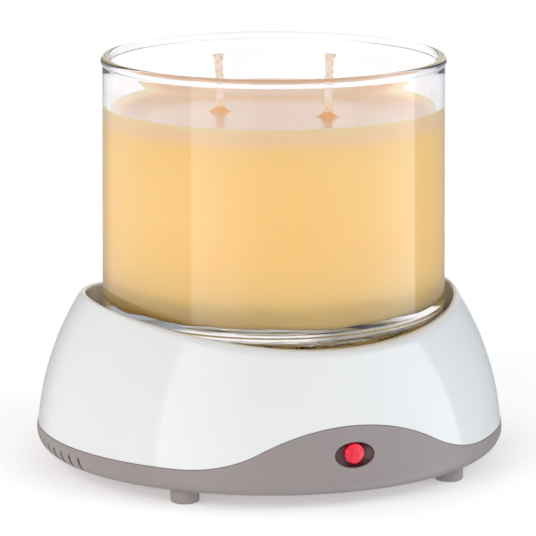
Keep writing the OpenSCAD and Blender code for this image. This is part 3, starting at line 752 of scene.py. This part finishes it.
def makeWaxMaterial():
    # paraffin and soy wax, poured: light sinks in and comes back warm, the surface is faintly glossy
    material, tree, shader, where = newMaterial("paraffin wax, poured", {
        "Subsurface Weight": 0.6, "Subsurface Radius": (1.0, 0.55, 0.2), "Subsurface Scale": 0.004,
        "IOR": 1.44})
    level = wax["level"]
    cloud = addNode(tree, "TexNoise", inputs={"Vector": where, "Scale": perMetre(18), "Detail": 2.0})
    body = addNode(tree, "Mix", {"data_type": "RGBA"}, {
        0: cloud.outputs["Fac"], 6: linear(wax["body"][0]), 7: linear(wax["body"][1])})
    height = addNode(tree, "SeparateXYZ", inputs={0: where})
    # under the top, the wax against the glass is painted pale: a painted haze of reflection
    pale = addNode(tree, "MapRange", {"interpolation_type": "SMOOTHSTEP"}, {
        "Value": height.outputs["Z"], 1: (level - wax["edgeHazeDeep"]) * metre, 2: level * metre,
        3: 0.0, 4: wax["edgeHazeShare"]})
    edged = addNode(tree, "Mix", {"data_type": "RGBA"}, {
        0: pale.outputs[0], 6: body.outputs[2], 7: linear(wax["paintedEdgeHaze"])})
    # the top is painted darker and pinker: painted shade and a painted pinkish haze of reflection. It
    # covers the top only, and ends short of the glass
    above = addNode(tree, "Math", {"operation": "GREATER_THAN"}, {
        0: height.outputs["Z"], 1: (level - 1) * metre})
    plan = addNode(tree, "VectorMath", {"operation": "MULTIPLY"}, {0: where, 1: (1, 1, 0)})
    out = addNode(tree, "VectorMath", {"operation": "DISTANCE"}, {
        0: plan.outputs[0], 1: (jarAt[0] * metre, jarAt[1] * metre, 0)})
    skin = addNode(tree, "MapRange", {"interpolation_type": "SMOOTHSTEP"}, {
        "Value": out.outputs["Value"], 1: wax["topShadeAndHazeFrom"][0] * metre, 2: wax["topShadeAndHazeFrom"][1] * metre,
        3: above.outputs[0], 4: 0.0})
    topped = addNode(tree, "Mix", {"data_type": "RGBA"}, {
        0: skin.outputs[0], 6: edged.outputs[2], 7: linear(wax["skin"])})
    colour = topped.outputs[2]
    for at in wickAt.values():
        reach = addNode(tree, "VectorMath", {"operation": "DISTANCE"}, {
            0: where, 1: (at[0] * metre, at[1] * metre, level * metre)})
        near = addNode(tree, "MapRange", {"interpolation_type": "SMOOTHSTEP"}, {
            "Value": reach.outputs["Value"], 1: wax["soakedTo"][0] * metre, 2: wax["soakedTo"][1] * metre,
            3: 1.0, 4: 0.0})
        soaked = addNode(tree, "Mix", {"data_type": "RGBA"}, {
            0: near.outputs[0], 6: colour, 7: linear(wax["soaked"])})
        colour = soaked.outputs[2]
    tree.links.new(colour, shader.inputs["Base Color"])
    rough = addNode(tree, "TexNoise", inputs={"Vector": where, "Scale": perMetre(6), "Detail": 3.0})
    spread = addNode(tree, "MapRange", inputs={"Value": rough.outputs["Fac"], 3: 0.1, 4: 0.22})
    tree.links.new(spread.outputs[0], shader.inputs["Roughness"])
    bump = addNode(tree, "Bump", inputs={
        "Height": rough.outputs["Fac"], "Distance": 0.06 * metre, "Strength": 0.3})
    tree.links.new(bump.outputs[0], shader.inputs["Normal"])
    return material


def makeWickMaterial():
    # braided cotton dipped in wax: fine thread lines along it, matt, a warm tone low down
    material, tree, shader, where = newMaterial("cotton, braided, waxed", {
        "Roughness": 0.75, "Subsurface Weight": 0.3, "Subsurface Scale": 0.0015})
    stretch = addNode(tree, "Mapping", inputs={"Vector": where, "Scale": (1.0, 1.0, 0.35)})
    thread = addNode(tree, "TexNoise", inputs={
        "Vector": stretch.outputs[0], "Scale": perMetre(0.7), "Detail": 4.0})
    tint = addNode(tree, "Mix", {"data_type": "RGBA"}, {
        0: thread.outputs["Fac"], 6: linear(wicks["cotton"][0]), 7: linear(wicks["cotton"][1])})
    height = addNode(tree, "SeparateXYZ", inputs={0: where})
    soakedLow, soakedHigh = ((wax["level"] + up) * metre for up in wicks["soakedUp"])
    soak = addNode(tree, "MapRange", inputs={
        "Value": height.outputs["Z"], 1: soakedLow, 2: soakedHigh, 3: 1.0, 4: 0.0})
    warm = addNode(tree, "Mix", {"data_type": "RGBA"}, {
        0: soak.outputs[0], 6: tint.outputs[2], 7: linear(wicks["soaked"])})
    tree.links.new(warm.outputs[2], shader.inputs["Base Color"])
    bump = addNode(tree, "Bump", inputs={
        "Height": thread.outputs["Fac"], "Distance": 0.15 * metre, "Strength": 0.6})
    tree.links.new(bump.outputs[0], shader.inputs["Normal"])
    return material


def makeCapMaterial():
    # polycarbonate, clear red over a glowing lamp: bright, with the facets moulded inside; its red is
    # painted lighter and darker from facet to facet as painted light and shade of the glow through them
    material, tree, shader, where = newMaterial("polycarbonate, clear red, lit", {
        "Emission Strength": lamp["glow"], "Roughness": 0.12})
    # painted light and shade: each facet gets a brighter or a darker red, for the lamp's glow bent by the
    # facets
    facet = addNode(tree, "TexVoronoi", inputs={"Vector": where, "Scale": perMetre(1.1)})
    tint = addNode(tree, "Mix", {"data_type": "RGBA"}, {
        0: facet.outputs["Distance"], 6: linear(lamp["capFacetLitAndShaded"][0]), 7: linear(lamp["capFacetLitAndShaded"][1])})
    tree.links.new(tint.outputs[2], shader.inputs["Base Color"])
    tree.links.new(tint.outputs[2], shader.inputs["Emission Color"])
    bump = addNode(tree, "Bump", inputs={
        "Height": facet.outputs["Distance"], "Distance": 0.1 * metre, "Strength": 0.3})
    tree.links.new(bump.outputs[0], shader.inputs["Normal"])
    return material


waxMaterial, cottonWick, capRed = makeWaxMaterial(), makeWickMaterial(), makeCapMaterial()
print("outer finishes made")

finishPiece(makeCover(), "warmer", "shell_plastic", whiteAbs, "shell_cover")
finishPiece(makeTray(), "warmer", "tray_plastic", taupeAbs, "base_tray")
finishPiece(makeLens(), "warmer", "lens_plastic", windowRed, "lamp_lens")
finishPiece(makeCap(), "warmer", "lamp_red", capRed, "lamp_cap")
for corner in ("front_left", "front_right", "rear_right", "rear_left"):
    finishPiece(makeFoot("foot_" + corner), "warmer", "foot_rubber", rubberFoot, "foot_" + corner)
print("casing, lamp and feet made")
finishPiece(makeJar(), "jar", "jar_glass", glassJar, "jar_glass")
finishPiece(makeWax(), "jar", "wax", waxMaterial, "wax_fill")
for side in ("left", "right"):
    finishPiece(makeWick(side), "jar", "wick_cotton", cottonWick, "wick_" + side)
print("jar candle made")

# ---- finishes of the CAD nodes that stay

innerFinishes = [
    # soft grey, the highlight spread by spinning marks
    (platedMetal("aluminium, spun", "C9C9CB", 0.34, (1.0, 1.0, 1.0)), ["warming_plate"]),
    # cool bluish grey, half bright
    (platedMetal("steel, zinc-plated", "B4B7BC", 0.36, (1.0, 1.0, 0.2)), [
        "clamp_plate", "heat_shield", "stud_washers", "stud_nuts", "fuse_clip", "block_screw",
        "clamp_screws", "case_screws", "wick_clip_left", "wick_clip_right"]),
    # warm yellow with draw lines along the can
    (platedMetal("brass, drawn", "C9A25A", 0.3, (0.2, 1.0, 1.0)), ["thermal_fuse"]),
    # pale grey, long brush lines across
    (platedMetal("aluminium foil, brushed", "C6C7C9", 0.4, (0.05, 1.0, 1.0)), ["rating_label"]),
    # tan, flaky, patches of shine
    (mouldedPlastic("mica paper, pressed", ("C4AE86", "A89069"), 0.5, 1.2, 0.08, drift=0.1), [
        "heater_element"]),
    # off-white, dull and tufted
    (mouldedPlastic("mineral fibre, needled", ("E3DECF", "CFC8B5"), 0.9, 0.9, 0.5), ["insulation_pad"]),
    # cream with a waxy, half-matt look
    (mouldedPlastic("polyamide, cream, moulded", ("E4DDCD", "D8CFBC"), 0.45, 0.8, 0.02), [
        "terminal_block", "cord_clamp", "lamp_holder"]),
    # off-white, smooth but not glossy
    (mouldedPlastic("silicone sleeve, white, extruded", ("EAE8E2", "DAD7CF"), 0.5, 0.8, 0.03), [
        "heater_lead_neutral", "heater_lead_link", "heater_lead_live", "lamp_lead_live",
        "lamp_lead_neutral"]),
    # near black, dull, never mirror-like
    (mouldedPlastic("rubber, black, moulded", ("2B2A29", "211F1F"), 0.65, 0.5, 0.04), [
        "plate_gasket", "cord_gland"]),
    # tan with a thick, uneven gloss
    (mouldedPlastic("lacquer, tan, dipped", ("C49A6A", "AE8353"), 0.35, 1.5, 0.03), ["lamp_resistor"]),
    # clear with a faint rose tint and drawn ripples
    (clearGlass("soda glass, drawn", "FBEDE8", 0.01), ["neon_bulb"]),
]
for material, names in innerFinishes:
    for name in names:
        nodes[name].data.materials.clear()
        nodes[name].data.materials.append(material)
print("inner parts finished")

# ---- camera

# turn and tilt in degrees; it aims beside a point on the axis, up and to the side of it
view = {"turn": 20.7, "tilt": 11.345, "distance": 1106.3, "axisHigh": 60.0, "aimUp": -3.30,
        "aimSide": -0.387, "lens": 249.8}


def makeCamera():
    turn, tilt = math.radians(view["turn"]), math.radians(view["tilt"])
    forward = np.array([math.sin(turn) * math.cos(tilt), math.cos(turn) * math.cos(tilt), -math.sin(tilt)])
    right = np.array([math.cos(turn), -math.sin(turn), 0.0])
    upward = np.cross(right, forward)
    onAxis = np.array([0, 0, view["axisHigh"]])
    place = onAxis - forward * view["distance"]
    aim = onAxis + upward * view["aimUp"] + right * view["aimSide"]
    camera = bpy.data.objects.new("camera", bpy.data.cameras.new("camera"))
    camera.data.lens = view["lens"]
    camera.data.sensor_width = 36.0
    camera.data.clip_start, camera.data.clip_end = 0.05, 20.0
    camera.location = Vector(place * metre)
    camera.rotation_mode = "QUATERNION"
    camera.rotation_quaternion = Vector(aim - place).to_track_quat("-Z", "Y")
    scene.collection.objects.link(camera)
    scene.camera = camera


makeCamera()

# ---- room: a pale floor and a ring of soft light panels

room = {
    "half": 3.0, "floorColours": ("F5F2F1", "F6F5F4"), "glow": 0.31,  # half its width in metres
    "backdrop": 1.05, "overhead": 0.35, "ceilingFrom": 42, "ceilingTo": 52,  # degrees up
    "lean": 0.038, "leanMore": 0.19,  # how far the right-hand panels lean, low down and with height
}


def makeFloor():
    half = room["half"]
    mesh = bpy.data.meshes.new("floor")
    corners = [(-half, -half, 0), (half, -half, 0), (half, half, 0), (-half, half, 0)]
    mesh.from_pydata(corners, [], [(0, 1, 2, 3)])
    floor = bpy.data.objects.new("floor", mesh)
    scene.collection.objects.link(floor)
    # matt and even, with a faint glow of its own so that shadows stay pale
    material, tree, shader, where = newMaterial("painted board, pale, matt", {
        "Roughness": 0.9, "Specular IOR Level": 0.1, "Emission Color": (1, 1, 1, 1),
        "Emission Strength": room["glow"]})
    cloud = addNode(tree, "TexNoise", inputs={"Vector": where, "Scale": perMetre(300), "Detail": 1.0})
    tint = addNode(tree, "Mix", {"data_type": "RGBA"}, {
        0: cloud.outputs["Fac"], 6: linear(room["floorColours"][0]), 7: linear(room["floorColours"][1])})
    tree.links.new(tint.outputs[2], shader.inputs["Base Color"])
    mesh.materials.append(material)
    floor.visible_glossy = False


# the ring of panels: angle from the camera's side, positive to its right, brightness and blueness
panels = [
    (-180, 1.0, 0), (-172, 1.0, 0), (-166, 0.4, 0), (-150, 0.5, 0), (-136, 1.0, 0), (-114, 1.35, 0),
    (-57, 1.12, 0), (-55.8, 2.95, 0), (-30, 2.1, 0), (-6, 1.1, 0), (20, 1.05, 0.03), (60, 1.5, 0.06),
    (92, 2.6, 0.06), (108.5, 2.7, 0.06), (109.7, 0.75, 0.08), (120, 0.55, 0.1), (166, 0.4, 0.1),
    (172, 1.0, 0), (180, 1.0, 0),
]
brightest = 4.0  # the ramp holds shares of this


def makeWorld():
    world = bpy.data.worlds.new("studio")
    scene.world = world
    world.use_nodes = True
    tree = world.node_tree
    tree.nodes.clear()
    turned = addNode(tree, "Mapping", {"vector_type": "POINT"}, {
        "Vector": addNode(tree, "TexCoord").outputs["Generated"],
        "Rotation": (0.0, 0.0, math.radians(view["turn"]))})
    parts = addNode(tree, "SeparateXYZ", inputs={0: turned.outputs[0]})
    front = addNode(tree, "Math", {"operation": "MULTIPLY"}, {0: parts.outputs["Y"], 1: -1.0})
    around = addNode(tree, "Math", {"operation": "ARCTAN2"}, {0: parts.outputs["X"], 1: front.outputs[0]})
    # the right-hand panels lean: their angle grows with height
    lean = addNode(tree, "Math", {"operation": "MULTIPLY_ADD"}, {
        0: parts.outputs["Z"], 1: room["leanMore"], 2: room["lean"]})
    rightOnly = addNode(tree, "Math", {"operation": "MAXIMUM"}, {0: around.outputs[0], 1: 0.0})
    leaned = addNode(tree, "Math", {"operation": "MULTIPLY_ADD"}, {
        0: rightOnly.outputs[0], 1: lean.outputs[0], 2: around.outputs[0]})
    share = addNode(tree, "MapRange", inputs={
        "Value": leaned.outputs[0], 1: -math.pi, 2: math.pi, 3: 0.0, 4: 1.0})
    ring = addNode(tree, "ValToRGB", inputs={0: share.outputs[0]})
    stops = ring.color_ramp.elements  # its own two are the first and last
    for angle, v, blue in panels:
        place = (angle + 180) / 360
        stop = stops[0] if place == 0 else stops[-1] if place == 1 else stops.new(place)
        stop.color = (v * (1 - blue) / brightest, v / brightest, v * (1 + blue) / brightest, 1)
    ringLight = addNode(tree, "VectorMath", {"operation": "SCALE"}, {
        0: ring.outputs[0], "Scale": brightest})
    # high up the ring gives way to one even ceiling
    low, high = (math.sin(math.radians(room[name])) for name in ("ceilingFrom", "ceilingTo"))
    ceiling = addNode(tree, "MapRange", {"interpolation_type": "SMOOTHSTEP"}, {
        "Value": parts.outputs["Z"], 1: low, 2: high, 3: 0.0, 4: 1.0})
    level = addNode(tree, "Mix", {"data_type": "RGBA"}, {
        0: ceiling.outputs[0], 6: ringLight.outputs[0], 7: (room["overhead"],) * 3 + (1,)})
    eye = addNode(tree, "LightPath")
    seen = addNode(tree, "Mix", {"data_type": "RGBA"}, {
        0: eye.outputs["Is Camera Ray"], 6: level.outputs[2], 7: (room["backdrop"],) * 3 + (1,)})
    back = addNode(tree, "Background", inputs={"Color": seen.outputs[2], "Strength": 1.0})
    addNode(tree, "OutputWorld", inputs={"Surface": back.outputs[0]})


makeFloor()
makeWorld()
scene.view_settings.view_transform = "Standard"
scene.cycles.blur_glossy = 0.0  # light keeps its strength on its way through the glass
print("camera, floor and light made")
